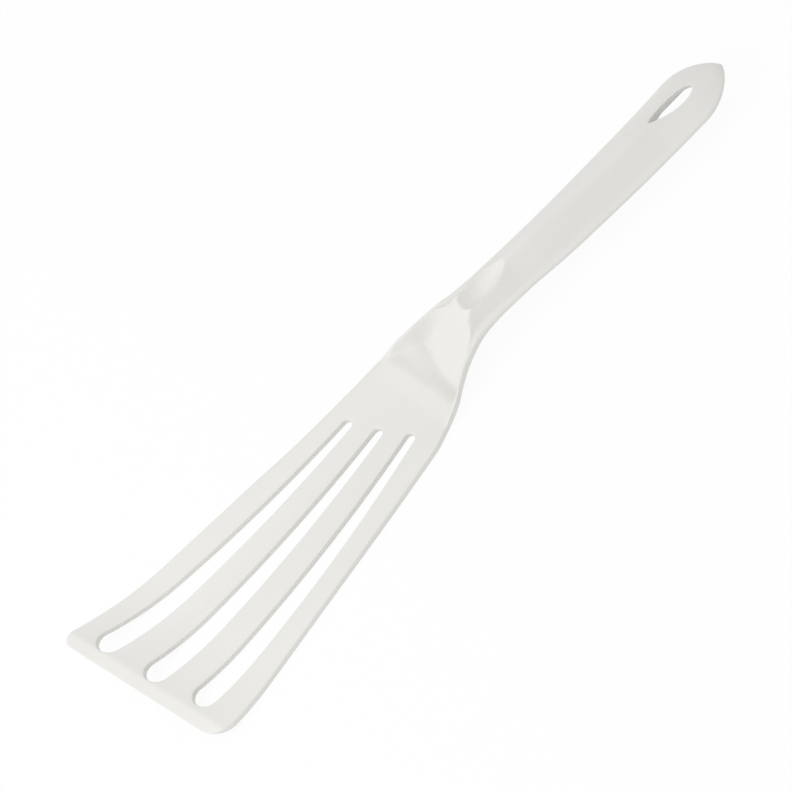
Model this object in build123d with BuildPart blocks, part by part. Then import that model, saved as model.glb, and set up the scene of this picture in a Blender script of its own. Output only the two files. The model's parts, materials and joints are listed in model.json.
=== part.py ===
from build123d import *
import os

os.makedirs("parts", exist_ok=True)

# One-piece moulded fish spatula.  Millimetres, +Z up, +Y from the blade to the handle.
# X = 0 is the middle plane of the handle, Z = 0 the flat underside of the blade,
# Y = 0 the root line where the blade turns into the neck.
# The wide, flared side of the blade is the +X side.

# Blade: sheet
blade_thick = 2.6
curl_length = 42.9
curl_radius = 92.0
sheet_end_y = 1.5

# Blade: outline seen from above
root_y = -9.5
root_left_x = -20.3
root_right_x = 20.6
root_inset_y = 2.5
root_inset_left_x = -9.0
root_inset_right_x = 9.0
left_low_x = -20.1
left_low_y = -42.6
left_mid_x = -21.6
left_mid_y = -73.0
left_high_x = -24.1
left_high_y = -124.0
left_tip_x = -25.7
left_tip_y = -154.9
right_tip_x = 48.15
right_tip_y = -139.7
right_low_x = 27.7
right_low_y = -36.8
right_near_x = 23.2
right_near_y = -16.1
left_corner_radius = 3.5
right_corner_radius = 9.5
curl_start_y = left_tip_y + curl_length

# Blade: bevel along the leading edge
bevel_run = 4.6
edge_thick = 0.6

# Slots, the same widths for all three
slot_root_half = 2.05
slot_mid_half = 3.42
slot_tip_half = 4.8
slot_1_root_x = -10.8
slot_1_root_y = -32.6
slot_1_mid_x = -9.3
slot_1_mid_y = -88.1
slot_1_tip_x = -12.9
slot_1_tip_y = -142.4
slot_2_root_x = 1.1
slot_2_root_y = -27.3
slot_2_mid_x = 7.8
slot_2_mid_y = -82.7
slot_2_tip_x = 9.2
slot_2_tip_y = -137.7
slot_3_root_x = 12.4
slot_3_root_y = -20.6
slot_3_mid_x = 24.0
slot_3_mid_y = -76.1
slot_3_tip_x = 29.95
slot_3_tip_y = -131.6

# Neck and handle cross-sections, one row for each station along Y:
# station y, half width, underside z, side foot z, side head z, shoulder x, shoulder z, crown z
side_bulge_share = 0.2
neck_rows = [
    (-9.5, 20.5, 0.0, 0.1, 2.6, 13.5, 2.6, 2.5),
    (-5.0, 19.4, 0.05, 1.4, 4.4, 13.2, 3.0, 2.6),
    (0.0, 18.4, 0.15, 3.8, 6.8, 12.0, 4.2, 2.2),
    (5.0, 16.3, 0.9, 6.5, 9.3, 11.2, 7.8, 2.9),
    (10.0, 14.4, 2.8, 8.7, 11.5, 10.0, 10.6, 5.6),
    (16.0, 12.6, 6.4, 10.3, 13.2, 8.6, 13.5, 10.6),
    (20.5, 11.7, 8.7, 11.0, 14.0, 6.6, 15.6, 14.9),
    (25.0, 10.8, 9.8, 11.2, 13.8, 4.4, 18.4, 18.8),
]
grip_rows = [
    (25.0, 10.8, 9.8, 11.2, 13.8, 4.4, 18.4, 18.8),
    (35.0, 10.3, 10.3, 11.0, 13.3, 4.6, 19.2, 20.2),
    (46.0, 10.2, 10.5, 10.6, 12.6, 2.2, 19.8, 20.4),
    (58.0, 10.6, 10.1, 9.6, 11.6, 2.0, 19.8, 20.4),
    (70.0, 11.0, 9.8, 8.9, 11.0, 2.0, 18.9, 19.5),
    (98.0, 11.5, 9.9, 8.6, 10.6, 2.0, 17.9, 18.5),
    (118.0, 11.9, 10.4, 8.9, 10.9, 2.1, 16.1, 16.7),
    (128.0, 12.0, 10.6, 9.2, 11.4, 2.2, 14.9, 15.5),
    (136.0, 10.1, 10.6, 9.4, 11.1, 2.1, 14.0, 14.4),
    (141.5, 6.7, 10.4, 9.8, 11.0, 1.7, 12.8, 13.1),
    (144.8, 2.9, 10.4, 10.0, 10.9, 1.0, 11.9, 12.05),
    (146.0, 0.9, 10.4, 10.2, 10.7, 0.4, 11.1, 11.15),
]

# Thumb dimple: an ellipsoid sunk into the crown
dimple_y = 34.8
dimple_z = 20.8
dimple_half_length = 11.6
dimple_half_width = 5.2
dimple_half_depth = 4.4
unit_radius = 1.0

# Hang hole: a slim drop, pointed toward the blade, over a straight relief in the underside
hole_point_y = 113.5
hole_length = 19.4
hole_half_width = 2.75
hole_wide_share = 0.6
hole_lean = 0.35
relief_y = 125.0
relief_half_width = 3.9
relief_length = 27.0
relief_top_z = 12.4

# How far each cutting shape reaches past the piece
cut_margin = 12.0


def curl_rise(y):
    """Height of the curled underside above the flat, at station y."""
    past = min(y - curl_start_y, 0.0)
    return curl_radius - (curl_radius**2 - past**2) ** 0.5


def section(row):
    """One closed cross-section face of the neck or the handle."""
    y, half, under, foot, head, shoulder_x, shoulder_z, crown = row
    bulge = side_bulge_share * (head - foot)
    side = half - bulge
    waist = (head + foot) / 2
    plane = Plane(origin=(0, y, 0), x_dir=(1, 0, 0), z_dir=(0, -1, 0))
    with BuildSketch(plane) as face:
        with BuildLine():
            ThreePointArc((-side, foot), (0, under), (side, foot))
            ThreePointArc((side, foot), (half, waist), (side, head))
            Line((side, head), (shoulder_x, shoulder_z))
            ThreePointArc((shoulder_x, shoulder_z), (0, crown), (-shoulder_x, shoulder_z))
            Line((-shoulder_x, shoulder_z), (-side, head))
            ThreePointArc((-side, head), (-half, waist), (-side, foot))
        make_face()
    return face.sketch


# The curled sheet, drawn from the side and pulled across
sheet_reach_y = left_tip_y - cut_margin
sheet_half_width = right_tip_x + cut_margin
sheet_reach_z = curl_rise(sheet_reach_y)
sheet_half_y = (curl_start_y + sheet_reach_y) / 2
top_radius = curl_radius - blade_thick
reach_share = (curl_start_y - sheet_reach_y) / curl_radius
half_share = reach_share / 2
top_reach_y = curl_start_y - top_radius * reach_share
top_reach_z = curl_radius - top_radius * (1 - reach_share**2) ** 0.5
top_half_y = curl_start_y - top_radius * half_share
top_half_z = curl_radius - top_radius * (1 - half_share**2) ** 0.5

with BuildPart() as sheet:
    with BuildSketch(Plane.YZ):
        with BuildLine():
            Line((sheet_end_y, 0), (curl_start_y, 0))
            ThreePointArc(
                (curl_start_y, 0),
                (sheet_half_y, curl_rise(sheet_half_y)),
                (sheet_reach_y, sheet_reach_z),
            )
            Line((sheet_reach_y, sheet_reach_z), (top_reach_y, top_reach_z))
            ThreePointArc(
                (top_reach_y, top_reach_z),
                (top_half_y, top_half_z),
                (curl_start_y, blade_thick),
            )
            Line((curl_start_y, blade_thick), (sheet_end_y, blade_thick))
            Line((sheet_end_y, blade_thick), (sheet_end_y, 0))
        make_face()
    extrude(amount=sheet_half_width, both=True)

# Outline and slots are cut upright, from below the sheet to above its curled tip
cut_height = curl_rise(left_tip_y) + blade_thick + 2 * cut_margin

with BuildPart() as outline:
    with BuildSketch(Plane.XY.offset(-cut_margin)):
        with BuildLine():
            Line((left_tip_x, left_tip_y), (right_tip_x, right_tip_y))
            Line((right_tip_x, right_tip_y), (right_low_x, right_low_y))
            Spline(
                (right_low_x, right_low_y),
                (right_near_x, right_near_y),
                (root_right_x, root_y),
            )
            Line((root_right_x, root_y), (root_inset_right_x, root_inset_y))
            Line((root_inset_right_x, root_inset_y), (root_inset_left_x, root_inset_y))
            Line((root_inset_left_x, root_inset_y), (root_left_x, root_y))
            Spline(
                (root_left_x, root_y),
                (left_low_x, left_low_y),
                (left_mid_x, left_mid_y),
                (left_high_x, left_high_y),
                (left_tip_x, left_tip_y),
            )
        make_face()
    extrude(amount=cut_height)
    upright = outline.edges().filter_by(Axis.Z)
    fillet(upright.sort_by_distance((left_tip_x, left_tip_y, 0))[0], radius=left_corner_radius)
    upright = outline.edges().filter_by(Axis.Z)
    fillet(upright.sort_by_distance((right_tip_x, right_tip_y, 0))[0], radius=right_corner_radius)

with BuildPart() as slots:
    with BuildSketch(Plane.XY.offset(-cut_margin)):
        for root_x, root_slot_y, mid_x, mid_y, tip_x, tip_y in (
            (slot_1_root_x, slot_1_root_y, slot_1_mid_x, slot_1_mid_y, slot_1_tip_x, slot_1_tip_y),
            (slot_2_root_x, slot_2_root_y, slot_2_mid_x, slot_2_mid_y, slot_2_tip_x, slot_2_tip_y),
            (slot_3_root_x, slot_3_root_y, slot_3_mid_x, slot_3_mid_y, slot_3_tip_x, slot_3_tip_y),
        ):
            with BuildLine():
                ThreePointArc(
                    (root_x - slot_root_half, root_slot_y),
                    (mid_x - slot_mid_half, mid_y),
                    (tip_x - slot_tip_half, tip_y),
                )
                ThreePointArc(
                    (tip_x - slot_tip_half, tip_y),
                    (tip_x, tip_y - slot_tip_half),
                    (tip_x + slot_tip_half, tip_y),
                )
                ThreePointArc(
                    (tip_x + slot_tip_half, tip_y),
                    (mid_x + slot_mid_half, mid_y),
                    (root_x + slot_root_half, root_slot_y),
                )
                ThreePointArc(
                    (root_x + slot_root_half, root_slot_y),
                    (root_x, root_slot_y + slot_root_half),
                    (root_x - slot_root_half, root_slot_y),
                )
            make_face()
    extrude(amount=cut_height)

# The bevel plane holds the leading edge and meets the top face one bevel run behind it
lead_length = ((right_tip_x - left_tip_x) ** 2 + (right_tip_y - left_tip_y) ** 2) ** 0.5
lead_x = (right_tip_x - left_tip_x) / lead_length
lead_y = (right_tip_y - left_tip_y) / lead_length
left_edge_z = curl_rise(left_tip_y) + edge_thick
right_edge_z = curl_rise(right_tip_y) + edge_thick
lead_rise = (right_edge_z - left_edge_z) / lead_length
centre_x = (left_tip_x + right_tip_x) / 2
centre_y = (left_tip_y + right_tip_y) / 2
centre_z = (left_edge_z + right_edge_z) / 2
back_y = centre_y + bevel_run * lead_x
back_share = (curl_start_y - back_y) / curl_radius
back_z = curl_rise(back_y) + blade_thick * (1 - back_share**2) ** 0.5
along = Vector(lead_x, lead_y, lead_rise)
behind = Vector(-lead_y * bevel_run, lead_x * bevel_run, back_z - centre_z)
bevel_plane = Plane(origin=(centre_x, centre_y, centre_z), x_dir=along, z_dir=along.cross(behind))

with BuildPart() as bevel:
    with BuildSketch(bevel_plane):
        Rectangle(lead_length + 2 * cut_margin, 2 * (bevel_run + cut_margin))
    extrude(amount=cut_margin)

with BuildPart() as neck:
    loft([section(row) for row in neck_rows])

with BuildPart() as grip:
    loft([section(row) for row in grip_rows])

dimple = Pos(0, dimple_y, dimple_z) * scale(
    Sphere(unit_radius), by=(dimple_half_width, dimple_half_length, dimple_half_depth)
)

hole_wide_y = hole_point_y + hole_length * hole_wide_share
hole_end_y = hole_point_y + hole_length
highest_crown = max(row[-1] for row in grip_rows)

with BuildPart() as hole:
    with BuildSketch(Plane.XY):
        with BuildLine():
            Spline(
                (0, hole_point_y),
                (hole_half_width, hole_wide_y),
                (0, hole_end_y),
                tangents=((hole_lean, 1), (-1, 0)),
            )
            mirror(about=Plane.YZ)
        make_face()
    extrude(amount=highest_crown)

with BuildPart() as relief:
    with BuildSketch(Plane.XY):
        with Locations((0, relief_y)):
            SlotOverall(relief_length, relief_half_width * 2, rotation=90)
    extrude(amount=relief_top_z)

with BuildPart() as body:
    add(sheet.part)
    add(outline.part, mode=Mode.INTERSECT)
    add(slots.part, mode=Mode.SUBTRACT)
    add(bevel.part, mode=Mode.SUBTRACT)
    add(neck.part)
    add(grip.part)
    add(dimple, mode=Mode.SUBTRACT)
    add(hole.part, mode=Mode.SUBTRACT)
    add(relief.part, mode=Mode.SUBTRACT)

body.part.label = "spatula_body"
export_step(body.part, "parts/spatula_body.step")
print("solids", len(body.part.solids()), "volume", round(body.part.volume), "box", body.part.bounding_box())
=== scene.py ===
# %% [markdown]
# A fish spatula in one moulding. A long slotted blade, a cranked neck with a scoop in it and a
# ridged handle come out of one mould, so the visible object is one closed surface in one material.
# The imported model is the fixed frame: it gives the places and the sizes, in metres. The blade lies
# flat on the floor plane, +Y runs along the handle and +X goes to the flared side of the blade.

# %% Load the frame
import json
import math

import bpy
import numpy as np
from mathutils import Matrix, Vector
from mathutils.geometry import delaunay_2d_cdt
from mathutils.kdtree import KDTree

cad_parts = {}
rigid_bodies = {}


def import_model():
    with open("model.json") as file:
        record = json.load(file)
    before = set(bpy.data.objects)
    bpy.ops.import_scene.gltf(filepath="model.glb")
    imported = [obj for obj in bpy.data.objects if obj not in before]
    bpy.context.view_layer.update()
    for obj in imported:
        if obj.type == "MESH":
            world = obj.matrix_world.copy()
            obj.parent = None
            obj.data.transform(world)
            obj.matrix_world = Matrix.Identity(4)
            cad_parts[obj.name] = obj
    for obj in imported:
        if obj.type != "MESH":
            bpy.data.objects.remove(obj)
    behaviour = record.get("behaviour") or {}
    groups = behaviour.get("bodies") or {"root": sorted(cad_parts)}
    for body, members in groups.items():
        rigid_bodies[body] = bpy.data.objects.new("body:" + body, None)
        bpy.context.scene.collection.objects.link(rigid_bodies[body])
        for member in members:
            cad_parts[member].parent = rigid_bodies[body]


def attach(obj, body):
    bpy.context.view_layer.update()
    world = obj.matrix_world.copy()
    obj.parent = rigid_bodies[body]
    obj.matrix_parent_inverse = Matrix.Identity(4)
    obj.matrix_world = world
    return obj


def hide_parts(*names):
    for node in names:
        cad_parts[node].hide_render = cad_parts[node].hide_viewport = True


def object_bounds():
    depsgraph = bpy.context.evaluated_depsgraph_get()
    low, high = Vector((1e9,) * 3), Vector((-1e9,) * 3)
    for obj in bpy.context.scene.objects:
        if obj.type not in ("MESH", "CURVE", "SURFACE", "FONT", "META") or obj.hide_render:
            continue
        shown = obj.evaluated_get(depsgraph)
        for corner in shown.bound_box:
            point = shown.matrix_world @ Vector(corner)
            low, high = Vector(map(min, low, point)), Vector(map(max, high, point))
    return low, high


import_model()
cad_low, cad_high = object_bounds()
scene = bpy.context.scene
scene.view_settings.view_transform = "Standard"
MM = 0.001
print("CAD box in mm:", [round(c / MM, 1) for c in (*cad_low, *cad_high)])

# %% [markdown]
# The camera stands on the flared side, 53 degrees above the table. It looks through a long lens
# from more than 4 metres away, so lines that run away from it hardly draw together. The picture is
# turned about the line of sight, so that the handle runs up its diagonal. A camera could be turned
# with angles or with a Track To constraint. Here its three axes are written down instead, because
# the turn about the line of sight is then part of the same matrix.

# %% Camera
TO_CAMERA = Vector((0.6, 0.0, 0.8))
PICTURE_RIGHT = Vector((0.5657, 0.7071, -0.4243)).normalized()
LOOK_AT = Vector((-4.06, -13.41, 3.05)) * MM
CAMERA_DISTANCE = 4.5375
CAMERA_LENS = 600.0
CAMERA_NEAR = 0.05
CAMERA_FAR = 20.0

camera_data = bpy.data.cameras.new("camera")
camera_data.lens = CAMERA_LENS
camera_data.clip_start = CAMERA_NEAR
camera_data.clip_end = CAMERA_FAR
camera = bpy.data.objects.new("camera", camera_data)
scene.collection.objects.link(camera)
picture_up = TO_CAMERA.cross(PICTURE_RIGHT)
turned = Matrix((PICTURE_RIGHT, picture_up, TO_CAMERA)).transposed()
camera.matrix_world = Matrix.Translation(LOOK_AT + TO_CAMERA * CAMERA_DISTANCE) @ turned.to_4x4()
scene.camera = camera
print("camera at", [round(c, 3) for c in camera.location])

# %% [markdown]
# The body could be modelled as a subdivision cage, but slots, rims and dimple would then pull on
# each other. Its shape follows a rule instead: seen from above it is an outline with three slots
# and a hang hole, and over each point of that plan there is one height for the top and one for the
# underside. The heights and widths are known at stations along the length, as on a boat's lines
# plan. A curve through the stations must not swing past them, or a flat blade would get waves, so
# its slopes are weighted harmonic means of the rises on both sides, and zero at a turn.

# %% A smooth curve through stations
def through(stations):
    """Returns a curve of (place, value) stations that never passes beyond its neighbours."""
    place, value = np.array(stations, float).T
    step = np.diff(place)
    rise = np.diff(value) / step
    before, after = rise[:-1], rise[1:]
    weight_before = 2 * step[1:] + step[:-1]
    weight_after = step[1:] + 2 * step[:-1]
    rising = before * after > 0
    safe_before = np.where(rising, before, 1)
    safe_after = np.where(rising, after, 1)
    mean = (weight_before + weight_after) / (weight_before / safe_before + weight_after / safe_after)
    slope = np.concatenate(([rise[0]], np.where(rising, mean, 0), [rise[-1]]))

    def curve(where):
        where = np.clip(where, place[0], place[-1])
        k = np.clip(np.searchsorted(place, where) - 1, 0, len(step) - 1)
        t = (where - place[k]) / step[k]
        start = value[k] * (1 + 2 * t) * (1 - t) ** 2 + slope[k] * step[k] * t * (1 - t) ** 2
        end = value[k + 1] * (3 - 2 * t) * t**2 + slope[k + 1] * step[k] * t**2 * (t - 1)
        return start + end

    return curve


def ramp(value, low, high):
    """0 below low, 1 above high, and an even S curve between them."""
    t = np.clip((value - low) / (high - low), 0, 1)
    return t * t * (3 - 2 * t)


def soft_min(a, b, reach):
    """The lower of two heights, with the crease between them rounded over reach."""
    near = np.clip(0.5 + 0.5 * (b - a) / reach, 0, 1)
    return b * (1 - near) + a * near - reach * near * (1 - near)


print("half way through stations 0 and 1:", through([(0, 0), (1, 1), (2, 1)])(0.5))

# %% [markdown]
# The plan outline. The left edge of the blade is nearly straight, the right one flares, and the
# leading edge is slanted with a small corner on the left and a larger one on the right. The neck
# and handle are the same on both sides. From here to the mesh all lengths are in millimetres.

# %% Stations of the outline
ROOT_Y = -9.5
ROOT_HALF = 20.45
LEFT_TIP_Y = -154.9
LEFT_SIDE_Y = -124.0
RIGHT_TIP_Y = -139.7
RIGHT_SIDE_Y = -88.9
NOSE_START = 128.0
NOSE_END = cad_high.y / MM
NOSE_HALF = 12.0
LEFT_EDGE = [(LEFT_TIP_Y, -25.7), (-148.6, -25.55), (LEFT_SIDE_Y, -24.1), (-103.5, -23.05),
             (-73.0, -21.6), (-42.6, -20.15), (-24.0, -20.1), (ROOT_Y, -ROOT_HALF)]
RIGHT_EDGE = [(RIGHT_TIP_Y, 48.15), (RIGHT_SIDE_Y, 38.05), (-36.8, 27.7), (-24.35, 25.0),
              (-16.1, 23.1), (ROOT_Y, ROOT_HALF)]
HALF_WIDTH = [(ROOT_Y, ROOT_HALF), (-5.0, 19.4), (0.0, 18.3), (5.0, 16.2), (10.0, 14.3), (16.0, 12.6),
              (20.5, 11.6), (26.0, 10.7), (35.0, 10.2), (46.0, 10.2), (58.0, 10.6), (70.0, 10.9),
              (84.0, 11.2), (98.0, 11.5), (118.0, 11.8), (NOSE_START, NOSE_HALF)]

left_edge = through(LEFT_EDGE)
right_edge = through(RIGHT_EDGE)
half_width = through(HALF_WIDTH)
print("from tip to tip, across:", round(right_edge(RIGHT_TIP_Y) - left_edge(LEFT_TIP_Y), 1), "mm")

# %% Helpers for outlines
CORNER_POINTS = 24


def corner(before, point, after, radius):
    """The arc that rounds a corner, as points."""
    before, point, after = (np.array(p, float) for p in (before, point, after))
    back = (before - point) / np.linalg.norm(before - point)
    on = (after - point) / np.linalg.norm(after - point)
    half_angle = math.acos(float(back @ on)) / 2
    middle = (back + on) / np.linalg.norm(back + on)
    centre = point + middle * radius / math.sin(half_angle)
    first = point + back * radius / math.tan(half_angle) - centre
    last = point + on * radius / math.tan(half_angle) - centre
    turn = math.atan2(first[0] * last[1] - first[1] * last[0], float(first @ last))
    angles = np.linspace(0, turn, CORNER_POINTS)
    x = centre[0] + first[0] * np.cos(angles) - first[1] * np.sin(angles)
    y = centre[1] + first[0] * np.sin(angles) + first[1] * np.cos(angles)
    return np.column_stack((x, y))


def evenly(points, step):
    """A closed line with its points set out again at an even step."""
    closed = np.vstack((points, points[:1]))
    length = np.concatenate(([0], np.cumsum(np.linalg.norm(np.diff(closed, axis=0), axis=1))))
    places = np.linspace(0, length[-1], int(length[-1] / step) + 1)[:-1]
    return np.column_stack([np.interp(places, length, closed[:, axis]) for axis in (0, 1)])


# %% Plan outline
CORNER_LEFT = 3.5
CORNER_RIGHT = 9.0
NOSE_FULLNESS = 1.48
NOSE_POINTS = 60
OUTLINE_STEP = 0.6

left_tip = (left_edge(LEFT_TIP_Y), LEFT_TIP_Y)
right_tip = (right_edge(RIGHT_TIP_Y), RIGHT_TIP_Y)
left_round = corner((left_edge(LEFT_SIDE_Y), LEFT_SIDE_Y), left_tip, right_tip, CORNER_LEFT)
right_round = corner(left_tip, right_tip, (right_edge(RIGHT_SIDE_Y), RIGHT_SIDE_Y), CORNER_RIGHT)
right_y = np.arange(right_round[-1][1] + OUTLINE_STEP, ROOT_Y, OUTLINE_STEP)
neck_y = np.arange(ROOT_Y, NOSE_START, OUTLINE_STEP)
nose_turn = np.linspace(0, math.pi / 2, NOSE_POINTS)
nose_x = NOSE_HALF * np.abs(np.cos(nose_turn)) ** NOSE_FULLNESS
nose_y = NOSE_START + (NOSE_END - NOSE_START) * np.sin(nose_turn)
left_y = np.arange(ROOT_Y - OUTLINE_STEP, left_round[0][1] + OUTLINE_STEP, -OUTLINE_STEP)
outline = evenly(np.vstack((
    left_round,
    right_round,
    np.column_stack((right_edge(right_y), right_y)),
    np.column_stack((half_width(neck_y), neck_y)),
    np.column_stack((nose_x, nose_y)),
    np.column_stack((-nose_x, nose_y))[-2::-1],
    np.column_stack((-half_width(neck_y), neck_y))[::-1],
    np.column_stack((left_edge(left_y), left_y)),
)), OUTLINE_STEP)
front_y, nose_tip_y = outline[:, 1].min().round(1), outline[:, 1].max().round(1)
print("outline:", len(outline), "points, from Y", front_y, "to", nose_tip_y)

# %% [markdown]
# Three slots pierce the blade. Each follows a shallow arc, is narrow at the root and wide at the
# tip, and has round ends. They could be modelled one by one, or cut with booleans, which leave a
# ragged mesh to round over. Since all three follow one rule, a Geometry Nodes tree draws the
# outline: it samples an arc through three points and steps to the side by the radius there, and
# the round ends are the same step turned through half a circle. Its Grow input gives the same
# outline further out, for the rounding of the slot's lip.

# %% Helpers for node trees
COLUMN_WIDTH = 200
ROW_HEIGHT = 180


def new_node(tree, kind, place, **settings):
    """Adds a node at a (column, row) place. Settings name its properties."""
    node = tree.nodes.new(kind)
    node.location = (place[0] * COLUMN_WIDTH, -place[1] * ROW_HEIGHT)
    for name, value in settings.items():
        setattr(node, name, value)
    return node


def feed(tree, socket, source):
    """Gives an input socket a link from another node's output, or a plain value."""
    if isinstance(source, bpy.types.NodeSocket):
        tree.links.new(source, socket)
    else:
        socket.default_value = source


def calculate(tree, place, operation, first, second=0.0):
    """A Math node and its result."""
    node = new_node(tree, "ShaderNodeMath", place, operation=operation)
    feed(tree, node.inputs[0], first)
    feed(tree, node.inputs[1], second)
    return node.outputs[0]


def spread(tree, place, value, from_low, from_high, to_low, to_high):
    """A clamped Map Range node and its result."""
    node = new_node(tree, "ShaderNodeMapRange", place)
    for name, source in zip(
        ("Value", "From Min", "From Max", "To Min", "To Max"),
        (value, from_low, from_high, to_low, to_high),
    ):
        feed(tree, node.inputs[name], source)
    return node.outputs["Result"]


def scaled(tree, place, vector, scale):
    """A vector times a number."""
    node = new_node(tree, "ShaderNodeVectorMath", place, operation="SCALE")
    feed(tree, node.inputs[0], vector)
    feed(tree, node.inputs["Scale"], scale)
    return node.outputs[0]


def added(tree, place, first, second):
    """The sum of two vectors."""
    node = new_node(tree, "ShaderNodeVectorMath", place, operation="ADD")
    feed(tree, node.inputs[0], first)
    feed(tree, node.inputs[1], second)
    return node.outputs[0]


# %% The slot outline tree
TIP_BEND_FROM = 0.45
TIP_BEND_TO = 0.51
ROOT_BEND_FROM = 0.96


def make_slot_tree():
    """Builds the tree that draws one slot's outline, clockwise seen from above."""
    tree = bpy.data.node_groups.new("slot_outline", "GeometryNodeTree")
    interface = tree.interface
    interface.new_socket(name="Geometry", in_out="INPUT", socket_type="NodeSocketGeometry")
    for name in ("Root", "Middle", "Tip"):
        interface.new_socket(name=name, in_out="INPUT", socket_type="NodeSocketVector")
    for name in ("Root Radius", "Tip Radius", "Grow"):
        interface.new_socket(name=name, in_out="INPUT", socket_type="NodeSocketFloat")
    interface.new_socket(name="Points", in_out="INPUT", socket_type="NodeSocketInt")
    interface.new_socket(name="Material", in_out="INPUT", socket_type="NodeSocketMaterial")
    interface.new_socket(name="Geometry", in_out="OUTPUT", socket_type="NodeSocketGeometry")
    given = new_node(tree, "NodeGroupInput", (0, 2)).outputs

    arc = new_node(tree, "GeometryNodeCurveArc", (1, 0), mode="POINTS")
    feed(tree, arc.inputs["Resolution"], given["Points"])
    feed(tree, arc.inputs["Start"], given["Root"])
    feed(tree, arc.inputs["Middle"], given["Middle"])
    feed(tree, arc.inputs["End"], given["Tip"])

    index = new_node(tree, "GeometryNodeInputIndex", (1, 3)).outputs[0]
    round_share = calculate(tree, (2, 3), "DIVIDE", index, given["Points"])
    out_share = spread(tree, (3, 2), round_share, 0.0, TIP_BEND_FROM, 0.0, 1.0)
    back_share = spread(tree, (3, 3), round_share, TIP_BEND_TO, ROOT_BEND_FROM, 0.0, 1.0)
    along = calculate(tree, (4, 2), "SUBTRACT", out_share, back_share)
    tip_turn = spread(tree, (3, 4), round_share, TIP_BEND_FROM, TIP_BEND_TO, 0.0, math.pi)
    root_turn = spread(tree, (3, 5), round_share, ROOT_BEND_FROM, 1.0, 0.0, math.pi)
    turned_by = calculate(tree, (4, 4), "ADD", tip_turn, root_turn)

    centre = new_node(tree, "GeometryNodeSampleCurve", (5, 0), mode="FACTOR", use_all_curves=True)
    feed(tree, centre.inputs["Curves"], arc.outputs["Curve"])
    feed(tree, centre.inputs["Factor"], along)
    side = new_node(tree, "ShaderNodeVectorMath", (6, 1), operation="CROSS_PRODUCT")
    feed(tree, side.inputs[0], (0.0, 0.0, 1.0))
    feed(tree, side.inputs[1], centre.outputs["Tangent"])
    radius = spread(tree, (5, 3), along, 0.0, 1.0, given["Root Radius"], given["Tip Radius"])
    radius = calculate(tree, (6, 3), "ADD", radius, given["Grow"])
    sideways = calculate(tree, (7, 3), "MULTIPLY", calculate(tree, (6, 4), "COSINE", turned_by), radius)
    forward = calculate(tree, (7, 4), "MULTIPLY", calculate(tree, (6, 5), "SINE", turned_by), radius)
    step = added(
        tree, (9, 2),
        scaled(tree, (8, 2), side.outputs[0], sideways),
        scaled(tree, (8, 3), centre.outputs["Tangent"], forward),
    )

    ring = new_node(tree, "GeometryNodeCurvePrimitiveCircle", (9, 0), mode="RADIUS")
    feed(tree, ring.inputs["Resolution"], given["Points"])
    place = new_node(tree, "GeometryNodeSetPosition", (10, 0))
    feed(tree, place.inputs["Geometry"], ring.outputs["Curve"])
    feed(tree, place.inputs["Position"], added(tree, (10, 2), centre.outputs["Position"], step))
    as_mesh = new_node(tree, "GeometryNodeCurveToMesh", (11, 0))
    feed(tree, as_mesh.inputs["Curve"], place.outputs["Geometry"])
    real = new_node(tree, "GeometryNodeRealizeInstances", (12, 0))
    feed(tree, real.inputs["Geometry"], as_mesh.outputs["Mesh"])
    finish = new_node(tree, "GeometryNodeSetMaterial", (13, 0))
    feed(tree, finish.inputs["Geometry"], real.outputs["Geometry"])
    feed(tree, finish.inputs["Material"], given["Material"])
    feed(tree, new_node(tree, "NodeGroupOutput", (14, 0)).inputs[0], finish.outputs["Geometry"])
    return tree


polymer = bpy.data.materials.new("moulded_polymer")
slot_tree = make_slot_tree()
slot_sockets = slot_tree.interface.items_tree
slot_inputs = {item.name: item.identifier for item in slot_sockets if item.in_out == "INPUT"}
print("slot tree:", len(slot_tree.nodes), "nodes, inputs", sorted(slot_inputs))

# %% [markdown]
# Every edge that the eye meets on a moulding is a small round, not a knife edge. A Bevel modifier
# would have to find these edges again in a finished mesh. Here each slot is drawn several times
# instead, at the distances where a quarter circle has turned by a few chosen angles, and each ring
# remembers how far the quarter circle has dropped there.

# %% Draw the three slots
SLOT_ROOT_RADIUS = 2.05
SLOT_TIP_RADIUS = 4.8
SLOT_POINTS = 360
SLOTS = {
    "left_slot": ((-10.8, -32.6), (-9.3, -88.1), (-12.9, -142.4)),
    "middle_slot": ((1.1, -27.3), (7.8, -82.7), (9.2, -137.7)),
    "right_slot": ((12.4, -20.6), (24.0, -76.1), (29.95, -131.6)),
}
LIP_RADIUS = 0.4
LIP_TURNS = np.radians((0.0, 18.0, 38.0, 62.0, 90.0))


def in_order(mesh):
    """The points of a mesh that is one closed line, in the order of the line."""
    after = {}
    for edge in mesh.edges:
        a, b = edge.vertices
        after.setdefault(a, []).append(b)
        after.setdefault(b, []).append(a)
    order = [0, 1 if 1 in after[0] else after[0][0]]
    while len(order) < len(mesh.vertices):
        order.append(next(n for n in after[order[-1]] if n != order[-2]))
    return np.array([mesh.vertices[i].co[:2] for i in order])


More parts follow.
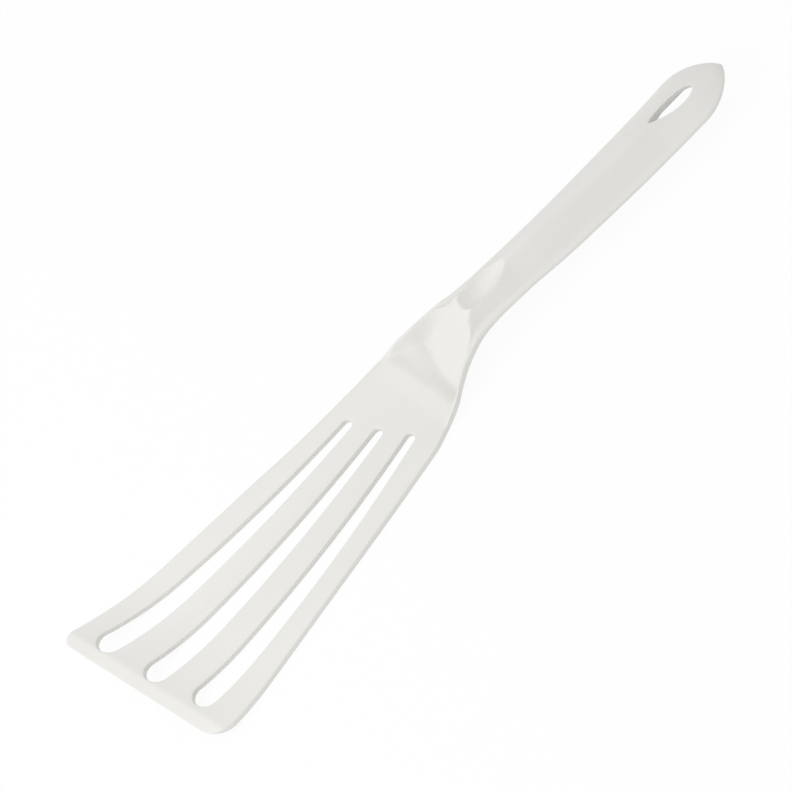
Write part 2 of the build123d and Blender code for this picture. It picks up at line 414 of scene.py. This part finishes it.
def draw_slot(name, grow):
    """One slot's outline from the Geometry Nodes tree, as points."""
    holder = bpy.data.objects.new(name, bpy.data.meshes.new(name))
    scene.collection.objects.link(holder)
    modifier = holder.modifiers.new("slot_outline", "NODES")
    modifier.node_group = slot_tree
    root, middle, tip = SLOTS[name]
    modifier[slot_inputs["Root"]] = (*root, 0.0)
    modifier[slot_inputs["Middle"]] = (*middle, 0.0)
    modifier[slot_inputs["Tip"]] = (*tip, 0.0)
    modifier[slot_inputs["Root Radius"]] = SLOT_ROOT_RADIUS
    modifier[slot_inputs["Tip Radius"]] = SLOT_TIP_RADIUS
    modifier[slot_inputs["Grow"]] = grow
    modifier[slot_inputs["Points"]] = SLOT_POINTS
    modifier[slot_inputs["Material"]] = polymer
    evaluated = holder.evaluated_get(bpy.context.evaluated_depsgraph_get())
    drawn = bpy.data.meshes.new_from_object(evaluated)
    points = in_order(drawn)
    bpy.data.objects.remove(holder)
    bpy.data.meshes.remove(drawn)
    return points


slot_rings = {
    name: [draw_slot(name, LIP_RADIUS * (1 - math.cos(turn))) for turn in LIP_TURNS]
    for name in SLOTS
}
for name, rings in slot_rings.items():
    print(name, "runs from Y", rings[0][:, 1].max().round(1), "to", rings[0][:, 1].min().round(1))

# %% [markdown]
# The hang hole is a drop with its point towards the blade. It could be traced as a spline, but a
# drop has a formula: go round it by an angle and take the cosine of half the angle for the width,
# times a power of the sine of half the angle, which pinches one end to a point. Seen from above it
# opens into a straight-sided relief in the underside of the handle, so the handle is only a few
# millimetres thick where a hook goes through.

# %% Hang hole and its relief
HOLE_POINT_Y = 113.9
HOLE_END_Y = 133.4
HOLE_HALF_WIDTH = 2.75
HOLE_POINTS = 90
DROP_PINCH = 1.6
HOLE_LIP = 0.5
RELIEF_Y = 125.0
RELIEF_LENGTH = 27.0
RELIEF_HALF = 3.9
RELIEF_TOP_Z = 12.4
RELIEF_DRAFT = 0.2

drop_turn = np.linspace(0, 2 * math.pi, HOLE_POINTS + 1)[:-1]
drop_x = np.sin(drop_turn / 2) ** DROP_PINCH * np.cos(drop_turn / 2)
drop_x *= HOLE_HALF_WIDTH / drop_x.max()
drop_y = HOLE_POINT_Y + (HOLE_END_Y - HOLE_POINT_Y) * (1 - np.cos(drop_turn)) / 2
hole = np.column_stack((-drop_x, drop_y))


def relief_depth(x, y):
    """How far a point lies inside the relief's outline. It is negative outside."""
    past_end = np.maximum(np.abs(y - RELIEF_Y) - (RELIEF_LENGTH / 2 - RELIEF_HALF), 0)
    return RELIEF_HALF - np.hypot(past_end, x)


print("hang hole:", round(HOLE_END_Y - HOLE_POINT_Y, 1), "by", 2 * HOLE_HALF_WIDTH, "mm")

# %% [markdown]
# Height of the top. On the blade it is the sheet's thickness over the underside, less the bevel
# along the leading edge. In the neck it is a scoop: a floor, walls that rise to a rim on both
# sides, and outside each rim a flank that falls to a narrow flat land. The floor dips along a
# slanted line, like the one on which the slots end, into a bowl that is lowest on the left. The
# rims draw together at the crest, and there the handle starts, a soft ridge with straight flanks.
# The thumb dimple is a trough with a parabola for its section, and the lower of trough and ridge
# counts, with the crease between them rounded. Such a form could be sculpted, but stations can be
# measured and changed one by one.

# %% Stations of the top
SHEET = 2.6
CURL_START_Y = -112.0
CURL_RADIUS = 92.0
BEVEL_RUN = 4.6
BEVEL_EDGE = 0.6
SIDE_TOP = through([(-24.0, 2.6), (ROOT_Y, 2.65), (-5.0, 4.5), (0.0, 6.9), (5.0, 9.3), (10.0, 11.5),
                    (16.0, 13.2), (20.5, 13.9), (26.0, 13.8), (35.0, 13.3), (46.0, 12.6), (58.0, 11.6),
                    (70.0, 11.0), (98.0, 10.6), (118.0, 10.9), (128.0, 11.4), (136.0, 11.1),
                    (141.5, 10.9), (146.0, 10.7)])
LAND = through([(-24.0, 0.8), (8.0, 0.4), (15.0, 0.4), (17.0, 1.2), (20.5, 2.9), (26.0, 2.9),
                (30.0, 2.5), (36.0, 1.9), (46.0, 1.4), (112.0, 1.3), (118.0, 0.6), (126.0, 0.1),
                (146.0, 0.1)])
LAND_SHARE = 1 / 3
LEAST_FLANK = 0.4
RIM_X = through([(-24.0, 19.2), (ROOT_Y, 19.3), (-5.0, 18.3), (0.0, 17.4), (5.0, 15.4), (8.0, 14.4),
                 (10.0, 13.7), (14.0, 12.1), (16.0, 11.1), (18.0, 9.8), (19.0, 9.0), (20.0, 8.0),
                 (21.0, 6.7), (22.0, 5.7), (23.0, 5.1), (24.5, 4.7), (27.0, 4.5), (35.0, 4.6),
                 (40.0, 4.0), (43.0, 3.2), (46.0, 2.5), (52.0, 2.2), (146.0, 2.2)])
RIM_Z = through([(-24.0, 2.6), (ROOT_Y, 2.65), (-5.0, 4.5), (0.0, 7.0), (5.0, 9.5), (10.0, 11.7),
                 (16.0, 13.5), (18.0, 14.2), (19.0, 14.6), (20.0, 15.2), (21.0, 16.2), (22.0, 17.2),
                 (23.0, 18.0), (24.5, 18.6), (27.0, 18.9)])
FLOOR_X = through([(-24.0, 17.3), (ROOT_Y, 17.3), (-5.0, 15.8), (-2.0, 14.4), (0.0, 13.4), (3.0, 11.8),
                   (5.0, 10.9), (8.0, 10.1), (10.0, 9.5), (12.0, 8.8), (14.0, 7.9), (16.0, 6.9),
                   (18.0, 5.9), (20.0, 5.0), (22.3, 4.0), (25.5, 2.6)])
CENTRE_Z = through([(-24.0, 2.6), (-12.0, 2.8), (-6.2, 3.5), (-4.2, 3.75), (-3.0, 3.6), (0.0, 2.85),
                    (2.8, 2.1), (3.6, 2.0), (4.4, 2.2), (6.0, 3.0), (8.0, 4.3), (10.0, 5.8), (13.0, 8.2),
                    (16.0, 10.6), (18.0, 12.2), (20.0, 13.9), (22.0, 16.0), (23.0, 17.3), (23.7, 18.0)])
WALL_POWER = 2
FRONT_SLANT = 0.14
FRONT_FADES_Y = (-3.0, 4.0)
BOWL_SLANT = 0.19
BOWL_BOW = 0.014
BOWL_REACH = 11.0
BOWL_GROWS_Y = (-3.0, 5.0)
BOWL_FADES_Y = (9.0, 20.0)
RIDGE_Z = through([(22.0, 21.0), (27.0, 21.9), (31.0, 21.9), (35.0, 21.8), (40.0, 21.4), (43.0, 20.9),
                   (46.0, 20.5), (50.0, 20.4), (56.0, 20.5), (62.0, 20.2), (70.0, 19.6), (84.0, 19.0),
                   (98.0, 18.5), (104.0, 18.3), (110.0, 17.7), (115.0, 17.1), (118.0, 16.8),
                   (128.0, 15.5), (134.0, 14.8), (139.0, 13.9), (143.0, 12.9), (146.0, 11.4)])
RIDGE_GROWS_Y = (22.5, 27.0)
DIMPLE_Z = through([(20.0, 23.0), (22.3, 19.6), (23.4, 18.5), (25.0, 17.7), (27.0, 16.9), (30.0, 16.1),
                    (32.5, 15.9), (36.0, 16.5), (40.0, 17.8), (43.0, 19.1), (45.0, 20.1), (46.0, 20.7),
                    (52.0, 24.5)])
DIMPLE_ROUND = 4.2
CREASE = 0.3
LAND_FILLET = 0.8
print("crest, dimple and ridge stations:", RIM_Z(24.0).round(1), DIMPLE_Z(32.5), RIDGE_Z(50.0))

# %% Height of the top
BLADE_END_Y = -56.0
LEAST_HALF = 0.05

leading = np.array(right_tip) - np.array(left_tip)
leading = leading / np.linalg.norm(leading)


def from_leading_edge(x, y):
    """Distance from the slanted leading edge, into the blade."""
    return leading[0] * (y - left_tip[1]) - leading[1] * (x - left_tip[0])


def curl(y):
    """Rise of the blade's curled-up front, an arc that starts flat."""
    past = np.maximum(CURL_START_Y - y, 0)
    return CURL_RADIUS - np.sqrt(CURL_RADIUS**2 - past**2)


def half_at(x, y):
    """Half the width of the plan at y, on the side of x."""
    nose = np.clip((y - NOSE_START) / (NOSE_END - NOSE_START), 0, 1)
    handle = np.where(y > NOSE_START, NOSE_HALF * (1 - nose**2) ** (NOSE_FULLNESS / 2), half_width(y))
    blade = np.where(x < 0, -left_edge(y), right_edge(y))
    return np.maximum(np.where(y < ROOT_Y, blade, handle), LEAST_HALF)


def top_z(x, y):
    """Height of the top, before its edges are rounded."""
    across = np.abs(x)
    half = half_at(x, y)
    rim_x, floor_x = RIM_X(y), FLOOR_X(y)
    wall = np.clip((across - floor_x) / (rim_x - floor_x), 0, 1) ** WALL_POWER
    low_x = BOWL_REACH * np.tanh(x / BOWL_REACH)
    front = FRONT_SLANT * x * (1 - ramp(y, *FRONT_FADES_Y))
    bowl = (BOWL_BOW * low_x**2 - BOWL_SLANT * low_x) * ramp(y, *BOWL_GROWS_Y)
    bowl = bowl * (1 - ramp(y, *BOWL_FADES_Y))
    floor = CENTRE_Z(y - front - bowl)
    scoop = floor + (RIM_Z(y) - floor) * wall
    side, land_x = SIDE_TOP(y), half - np.minimum(LAND(y), half * LAND_SHARE)
    out = (across - rim_x) / np.maximum(land_x - rim_x, LEAST_FLANK)
    neck = np.where(across < rim_x, scoop, RIM_Z(y) + (side - RIM_Z(y)) * np.clip(out, 0, 1))
    crown_x = np.minimum(rim_x, land_x)
    slope = (RIDGE_Z(y) - side) / (land_x - crown_x / 2)
    crown = RIDGE_Z(y) - slope * np.minimum(across, crown_x) ** 2 / (2 * crown_x)
    roof = -soft_min(slope * np.maximum(across - crown_x, 0) - crown, -side, LAND_FILLET)
    height = neck + (roof - neck) * ramp(y, *RIDGE_GROWS_Y)
    height = soft_min(height, DIMPLE_Z(y) + x**2 / (2 * DIMPLE_ROUND), CREASE)
    bevel = SHEET - (SHEET - BEVEL_EDGE) * (1 - from_leading_edge(x, y) / BEVEL_RUN)
    blade = curl(y) + soft_min(np.full_like(y, SHEET), bevel, CREASE)
    return np.where(y < BLADE_END_Y, blade, height)


crest_dimple_ridge = np.array([24.6, 32.0, 58.0])
print("top at the crest, dimple and ridge:", top_z(np.zeros(3), crest_dimple_ridge).round(2))

# %% [markdown]
# Height of the underside. The blade is flat and curls up at the front. Under the neck it follows
# the scoop, so that the wall stays about as thick as a mould wants it, and under the handle it is
# slightly hollow.

# %% Height of the underside
UNDER_Z = through([(ROOT_Y, 0.0), (0.0, 0.0), (4.0, 0.15), (6.0, 0.5), (8.0, 1.3), (10.0, 2.6),
                   (16.0, 6.6), (20.5, 8.8), (26.0, 9.8), (35.0, 10.3), (46.0, 10.5), (58.0, 10.1),
                   (70.0, 9.8), (98.0, 9.9), (118.0, 10.4), (128.0, 10.6), (146.0, 10.4)])
SIDE_FOOT = through([(ROOT_Y, 0.0), (-5.0, 1.4), (0.0, 3.8), (5.0, 6.5), (10.0, 8.7), (16.0, 10.3),
                     (20.5, 11.0), (26.0, 11.2), (35.0, 11.0), (46.0, 10.5), (58.0, 9.5), (70.0, 8.8),
                     (98.0, 8.5), (118.0, 8.9), (128.0, 9.2), (136.0, 9.4), (141.5, 9.7), (146.0, 10.0)])
NECK_POWER = 4.0
HANDLE_POWER = 2.0
HANDLE_GROWS_Y = (10.0, 35.0)


def under_z(x, y):
    """Height of the underside, before its edges are rounded."""
    share = np.clip(np.abs(x) / half_at(x, y), 0, 1)
    power = NECK_POWER + (HANDLE_POWER - NECK_POWER) * ramp(y, *HANDLE_GROWS_Y)
    height = UNDER_Z(y) + (SIDE_FOOT(y) - UNDER_Z(y)) * share**power
    height = np.where(y < ROOT_Y, curl(y), height)
    into = np.clip(relief_depth(x, y) / RELIEF_DRAFT, 0, 1)
    return height + (RELIEF_TOP_Z - height) * into


blade_neck_handle = np.array([-20.0, 12.0, 80.0])
print("underside of blade, neck and handle:", under_z(np.zeros(3), blade_neck_handle).round(2))

# %% [markdown]
# Rings beside the edges. Each outline gets rings inside the material, at the distances of a
# quarter circle, and each point keeps its drop. The radius grows from the blade's thin edge to the
# handle's soft one, and is never more than the edge has thickness for.

# %% Rings along the edges
EDGE_RADIUS = through([(ROOT_Y, 0.4), (0.0, 0.5), (15.0, 0.6), (24.0, 1.0), (35.0, 1.1),
                       (128.0, 1.0), (146.0, 0.7)])
EDGE_SHARE = 0.42


def ring_points(loop, radius, turns):
    """Rings beside a closed line whose material is on its left: their places and their drops."""
    ahead, behind = np.roll(loop, -1, axis=0), np.roll(loop, 1, axis=0)
    along = (ahead - behind) / np.linalg.norm(ahead - behind, axis=1)[:, None]
    inward = np.column_stack((-along[:, 1], along[:, 0]))
    rings = [loop + inward * (radius * (1 - math.cos(turn)))[:, None] for turn in turns]
    drops = [radius * (1 - math.sin(turn)) for turn in turns]
    return rings, drops


def edge_radius(loop, wanted):
    """The wanted radius, limited by the thickness at the edge."""
    thick = top_z(*loop.T) - under_z(*loop.T)
    return np.minimum(wanted, EDGE_SHARE * thick)


outer_radius = edge_radius(outline, EDGE_RADIUS(outline[:, 1]))
outer_rings, outer_drops = ring_points(outline, outer_radius, LIP_TURNS)
hole_radius = edge_radius(hole, np.full(len(hole), HOLE_LIP))
hole_rings, hole_drops = ring_points(hole, hole_radius, LIP_TURNS)
all_rings = [(outer_rings, outer_drops), (hole_rings, hole_drops)]
for rings in slot_rings.values():
    drops = [np.full(len(rings[0]), LIP_RADIUS * (1 - math.sin(turn))) for turn in LIP_TURNS]
    all_rings.append((rings, drops))
print("rings:", sum(len(rings) for rings, _ in all_rings))

# %% [markdown]
# Between the rings the plan is filled with points, fine in the neck and the dimple, where the
# surface bends, and coarser on the flat blade. Rows parallel to the leading edge follow the top of
# the bevel, and two lines follow the lip of the relief, so that these creases run straight.

# %% Helpers for points inside the plan
BLADE_STEP = 1.0
HANDLE_STEP = 0.8
BEVEL_ROWS = (-0.6, 0.0, 0.6)
RELIEF_POINTS = 120
FEWEST_IN_HALF_ROW = 2


def inside(points, loop):
    """True for each point that lies inside a closed line."""
    x, y = points[:, 0][:, None], points[:, 1][:, None]
    x0, y0 = loop[:, 0], loop[:, 1]
    x1, y1 = np.roll(x0, -1), np.roll(y0, -1)
    level = np.where(y1 == y0, 1.0, y1 - y0)
    crosses = ((y0 > y) != (y1 > y)) & (x < (x1 - x0) * (y - y0) / level + x0)
    return crosses.sum(axis=1) % 2 == 1


def grid(low_y, high_y, step):
    """A square grid of points between two heights of the plan."""
    x = np.arange(math.floor(outline[:, 0].min()), outline[:, 0].max(), step)
    y = np.arange(low_y, high_y, step)
    return np.array(np.meshgrid(x, y)).reshape(2, -1).T


def symmetric_rows(low_y, high_y, step):
    """Rows across the neck or handle, set out from the middle to both sides."""
    rows = []
    for y in np.arange(low_y, high_y, step):
        half = float(half_at(1.0, np.array(y)))
        count = max(FEWEST_IN_HALF_ROW, int(half / step))
        x = np.linspace(-1, 1, 2 * count + 1) * half
        rows.append(np.column_stack((x, np.full(len(x), y))))
    return np.vstack(rows)


def bevel_rows():
    """Points along the top of the bevel."""
    across = np.arange(0, np.linalg.norm(np.array(right_tip) - left_tip), BLADE_STEP)
    into = np.array((-leading[1], leading[0]))
    starts = np.array(left_tip) + leading * across[:, None]
    return np.vstack([starts + into * (BEVEL_RUN + offset) for offset in BEVEL_ROWS])


def relief_lines():
    """Two lines, at the lip and at the foot of the relief's drafted wall."""
    turn = np.linspace(0, 2 * math.pi, RELIEF_POINTS + 1)[:-1]
    straight = (RELIEF_LENGTH / 2 - RELIEF_HALF) * np.sign(np.sin(turn))
    lines = []
    for inset in (0.0, RELIEF_DRAFT):
        reach = RELIEF_HALF - inset
        line = np.column_stack((reach * np.cos(turn), RELIEF_Y + straight + reach * np.sin(turn)))
        lines.append(evenly(line, HANDLE_STEP))
    return lines


def clear_of(points, taken, distance):
    """The points that keep a distance from those already there."""
    tree = KDTree(len(taken))
    for i, (x, y) in enumerate(taken):
        tree.insert((x, y, 0), i)
    tree.balance()
    far = [tree.find((x, y, 0))[2] > distance for x, y in points]
    return points[np.array(far)]


# %% Points inside the plan
NECK_STEP = 0.5
FINE_START_Y = -24.0
FINE_END_Y = 50.0
CLEARANCE_SHARE = 0.55

ring_edges = np.vstack([rings[-1] for rings, _ in all_rings])
relief = relief_lines()
fills = []
taken = np.vstack((ring_edges, *relief))
for points, step in (
    (bevel_rows(), BLADE_STEP),
    (symmetric_rows(FINE_START_Y, FINE_END_Y, NECK_STEP), NECK_STEP),
    (symmetric_rows(FINE_END_Y, NOSE_END, HANDLE_STEP), HANDLE_STEP),
    (grid(left_tip[1], FINE_START_Y, BLADE_STEP), BLADE_STEP),
):
    points = points[inside(points, outer_rings[-1])]
    for rings, _ in all_rings[1:]:
        points = points[~inside(points, rings[-1])]
    points = clear_of(points, taken, CLEARANCE_SHARE * step)
    fills.append(points)
    taken = np.vstack((taken, points))
print("points inside the plan:", sum(len(points) for points in fills))

# %% [markdown]
# The points become triangles by a constrained Delaunay triangulation, which keeps every ring as an
# edge line. The same triangles serve the top and, turned over, the underside, and strips of quads
# along the outline, the slots and the hang hole close the surface.

# %% Triangles of the plan
WHOLE_HULL = 0
MERGE_DISTANCE = 1e-6

plan = []
plan_drop = []
plan_edges = []
boundary = []
for rings, drops in all_rings:
    for turn, (ring, drop) in enumerate(zip(rings, drops)):
        first = len(plan)
        plan.extend(ring)
        plan_drop.extend(drop)
        around = [(first + i, first + (i + 1) % len(ring)) for i in range(len(ring))]
        plan_edges.extend(around)
        if turn == 0:
            boundary.append(around)
for line in relief:
    first = len(plan)
    plan.extend(line)
    plan_drop.extend([0.0] * len(line))
    plan_edges.extend((first + i, first + (i + 1) % len(line)) for i in range(len(line)))
for points in fills:
    plan.extend(points)
    plan_drop.extend([0.0] * len(points))

flat, _, triangles, sources, _, _ = delaunay_2d_cdt(
    [Vector(point) for point in plan], plan_edges, [], WHOLE_HULL, MERGE_DISTANCE
)
flat = np.array(flat)
triangles = np.array(triangles)
drop = np.array([plan_drop[source[0]] if source else 0.0 for source in sources])
centres = flat[triangles].mean(axis=1)
keep = inside(centres, outer_rings[0])
for rings, _ in all_rings[1:]:
    keep &= ~inside(centres, rings[0])
triangles = triangles[keep]
one_side = flat[triangles[:, 1]] - flat[triangles[:, 0]]
other_side = flat[triangles[:, 2]] - flat[triangles[:, 0]]
clockwise = one_side[:, 0] * other_side[:, 1] - one_side[:, 1] * other_side[:, 0] < 0
triangles[clockwise] = triangles[clockwise][:, ::-1]
print("triangles in the plan:", len(triangles), "points:", len(flat))

# %% The body
x, y = flat.T
top = np.column_stack((x, y, top_z(x, y) - drop))
under = np.column_stack((x, y, under_z(x, y) + drop))
new_index = {source: i for i, found in enumerate(sources) for source in found}
count = len(flat)
faces = [tuple(triangle) for triangle in triangles.tolist()]
faces += [(a + count, c + count, b + count) for a, b, c in triangles.tolist()]
for around in boundary:
    for start, end in around:
        a, b = new_index[start], new_index[end]
        faces.append((a, a + count, b + count, b))

body_mesh = bpy.data.meshes.new("spatula")
body_mesh.from_pydata(np.vstack((top, under)) * MM, [], faces)
body_mesh.validate()
body_mesh.polygons.foreach_set("use_smooth", [True] * len(body_mesh.polygons))
spatula = bpy.data.objects.new("spatula", body_mesh)
scene.collection.objects.link(spatula)
body_mesh.materials.append(polymer)
body_triangles = sum(len(polygon.vertices) - 2 for polygon in body_mesh.polygons)
print("body:", len(body_mesh.vertices), "vertices,", body_triangles, "triangles")

# %% [markdown]
# How near each point is to an edge is kept with the mesh. Handling and washing polish a moulding
# first along its edges, so the material uses this share for a little more gloss there.

# %% Edge share
EDGE_FADE = 1.5
edge_tree = KDTree(sum(len(rings[0]) for rings, _ in all_rings))
for rings, _ in all_rings:
    for place in rings[0]:
        edge_tree.insert((*place, 0), 0)
edge_tree.balance()
edge_distance = np.array([edge_tree.find((*point, 0))[2] for point in flat])
edge_share = np.exp(-np.tile(edge_distance, 2) / EDGE_FADE)
attribute = body_mesh.attributes.new("edge_share", "FLOAT", "POINT")
attribute.data.foreach_set("value", edge_share.astype(np.float32))
print("mean edge share:", edge_share.mean().round(3))

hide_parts("spatula_body")
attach(spatula, "root")

# %% [markdown]
# The finish is a satin, warm white, glass-filled polymer. A single colour would look like paint,
# and a picture of the surface would show its own light. So the tone drifts a little in long
# streaks, as the melt flowed along the part, and a fine grain from the mould's surface breaks up
# the gloss. Edges are slightly smoother than the faces. The specular level is low, because the
# bright tent all round would otherwise lay a veil over every face that leans away.

# %% Material of the moulding
POLYMER_LIGHT = (0.825, 0.817, 0.785, 1.0)
POLYMER_DEEP = (0.808, 0.799, 0.766, 1.0)
FLOW_STRETCH = (90.0, 14.0, 90.0)
FLOW_DETAIL = 4.0
FLOW_SPREAD = (0.35, 0.65)
PATCH_SCALE = 260.0
PATCH_DETAIL = 3.0
PATCH_SPREAD = (0.3, 0.7)
SATIN_ROUGHNESS = (0.44, 0.52)
EDGE_POLISH = 0.08
GRAIN_SCALE = 2400.0
GRAIN_DETAIL = 2.0
GRAIN_STRENGTH = 0.25
GRAIN_DEPTH = 0.03 * MM
SPECULAR_LEVEL = 0.3


def dress_polymer(material):
    """Builds the node tree of the satin white polymer."""
    material.use_nodes = True
    tree = material.node_tree
    shader = tree.nodes["Principled BSDF"]
    shader.location = (7 * COLUMN_WIDTH, 0)
    where = new_node(tree, "ShaderNodeTexCoord", (0, 1)).outputs["Object"]

    stretch = new_node(tree, "ShaderNodeMapping", (1, 0))
    feed(tree, stretch.inputs["Vector"], where)
    feed(tree, stretch.inputs["Scale"], FLOW_STRETCH)
    flow = new_node(tree, "ShaderNodeTexNoise", (2, 0))
    feed(tree, flow.inputs["Vector"], stretch.outputs["Vector"])
    feed(tree, flow.inputs["Scale"], 1.0)
    feed(tree, flow.inputs["Detail"], FLOW_DETAIL)
    # For colours, a Mix node's factor is input 0, the colours are 6 and 7, and output 2 is the mix
    tone = new_node(tree, "ShaderNodeMix", (4, 0), data_type="RGBA")
    feed(tree, tone.inputs[0], spread(tree, (3, 0), flow.outputs["Fac"], *FLOW_SPREAD, 0.0, 1.0))
    feed(tree, tone.inputs[6], POLYMER_LIGHT)
    feed(tree, tone.inputs[7], POLYMER_DEEP)
    feed(tree, shader.inputs["Base Color"], tone.outputs[2])

    patches = new_node(tree, "ShaderNodeTexNoise", (2, 2))
    feed(tree, patches.inputs["Vector"], where)
    feed(tree, patches.inputs["Scale"], PATCH_SCALE)
    feed(tree, patches.inputs["Detail"], PATCH_DETAIL)
    edge = new_node(tree, "ShaderNodeAttribute", (2, 3), attribute_name="edge_share")
    satin = spread(tree, (3, 2), patches.outputs["Fac"], *PATCH_SPREAD, *SATIN_ROUGHNESS)
    polish = calculate(tree, (3, 3), "MULTIPLY", edge.outputs["Fac"], EDGE_POLISH)
    feed(tree, shader.inputs["Roughness"], calculate(tree, (4, 2), "SUBTRACT", satin, polish))
    feed(tree, shader.inputs["Specular IOR Level"], SPECULAR_LEVEL)

    grain = new_node(tree, "ShaderNodeTexNoise", (2, 5))
    feed(tree, grain.inputs["Vector"], where)
    feed(tree, grain.inputs["Scale"], GRAIN_SCALE)
    feed(tree, grain.inputs["Detail"], GRAIN_DETAIL)
    bump = new_node(tree, "ShaderNodeBump", (5, 4))
    feed(tree, bump.inputs["Height"], grain.outputs["Fac"])
    feed(tree, bump.inputs["Strength"], GRAIN_STRENGTH)
    feed(tree, bump.inputs["Distance"], GRAIN_DEPTH)
    feed(tree, shader.inputs["Normal"], bump.outputs["Normal"])


dress_polymer(polymer)
print("polymer nodes:", len(polymer.node_tree.nodes))

# %% [markdown]
# A pale floor, white to the camera and in reflections, which still keeps a part of the object's
# shadow. More light would whiten it too, but would wash out the object. So the mix is made in its
# material with Light Path, and no light is added. The floor lies a hair below the flat blade, so
# that the two faces don't flicker through each other.

# %% Floor
FLOOR_Z = -0.05 * MM
FLOOR_SIZE = 8.0
WHITE_SHARE = 0.93
FLOOR_COLOUR = (0.93, 0.93, 0.93, 1.0)
FLOOR_ROUGHNESS = 0.9

floor_mesh = bpy.data.meshes.new("floor")
reach = FLOOR_SIZE / 2
floor_corners = [(-reach, -reach), (reach, -reach), (reach, reach), (-reach, reach)]
floor_mesh.from_pydata([(*place, FLOOR_Z) for place in floor_corners], [], [(0, 1, 2, 3)])
floor = bpy.data.objects.new("floor", floor_mesh)
scene.collection.objects.link(floor)
floor_paint = bpy.data.materials.new("floor")
floor_paint.use_nodes = True
floor_tree = floor_paint.node_tree
floor_shader = floor_tree.nodes["Principled BSDF"]
floor_shader.inputs["Base Color"].default_value = FLOOR_COLOUR
floor_shader.inputs["Roughness"].default_value = FLOOR_ROUGHNESS
floor_shader.inputs["Specular IOR Level"].default_value = 0.0
rays = new_node(floor_tree, "ShaderNodeLightPath", (-3, 0))
camera_ray, glossy_ray = rays.outputs["Is Camera Ray"], rays.outputs["Is Glossy Ray"]
seen = calculate(floor_tree, (-2, 0), "MAXIMUM", camera_ray, glossy_ray)
seen = calculate(floor_tree, (-1, 0), "MAXIMUM", seen, rays.outputs["Is Transmission Ray"])
seen = calculate(floor_tree, (0, 0), "MULTIPLY", seen, WHITE_SHARE)
glow = new_node(floor_tree, "ShaderNodeEmission", (0, 2))
blend = new_node(floor_tree, "ShaderNodeMixShader", (2, 0))
feed(floor_tree, blend.inputs[0], seen)
feed(floor_tree, blend.inputs[1], floor_shader.outputs[0])
feed(floor_tree, blend.inputs[2], glow.outputs[0])
feed(floor_tree, floor_tree.nodes["Material Output"].inputs["Surface"], blend.outputs[0])
floor_mesh.materials.append(floor_paint)
print("floor:", FLOOR_SIZE, "m, white share", WHITE_SHARE)

# %% [markdown]
# Soft light from all round, as in a light tent, with one weak lamp beyond the blade's front. The
# lamp only has to tell apart the faces that lean to the front from those that lean to the sides.

# %% Light
SKY_STRENGTH = 0.75
KEY_PLACE = Vector((0.0, -0.62, 0.72))
KEY_SIZE = 0.5
KEY_POWER = 2.9

world = bpy.data.worlds.new("world")
scene.world = world
world.use_nodes = True
sky_tree = world.node_tree
sky = sky_tree.nodes["Background"]
sky.inputs["Color"].default_value = (1.0, 1.0, 1.0, 1.0)
sky_rays = new_node(sky_tree, "ShaderNodeLightPath", (-3, 0))
sky_level = spread(sky_tree, (-1, 0), sky_rays.outputs["Is Camera Ray"], 0.0, 1.0, SKY_STRENGTH, 1.0)
feed(sky_tree, sky.inputs["Strength"], sky_level)

key_data = bpy.data.lights.new("key", "AREA")
key_data.size = KEY_SIZE
key_data.energy = KEY_POWER
key = bpy.data.objects.new("key", key_data)
scene.collection.objects.link(key)
key.location = KEY_PLACE
key.rotation_euler = (-KEY_PLACE).to_track_quat("-Z", "Y").to_euler()
print("lamp", KEY_POWER, "W, sky", SKY_STRENGTH)
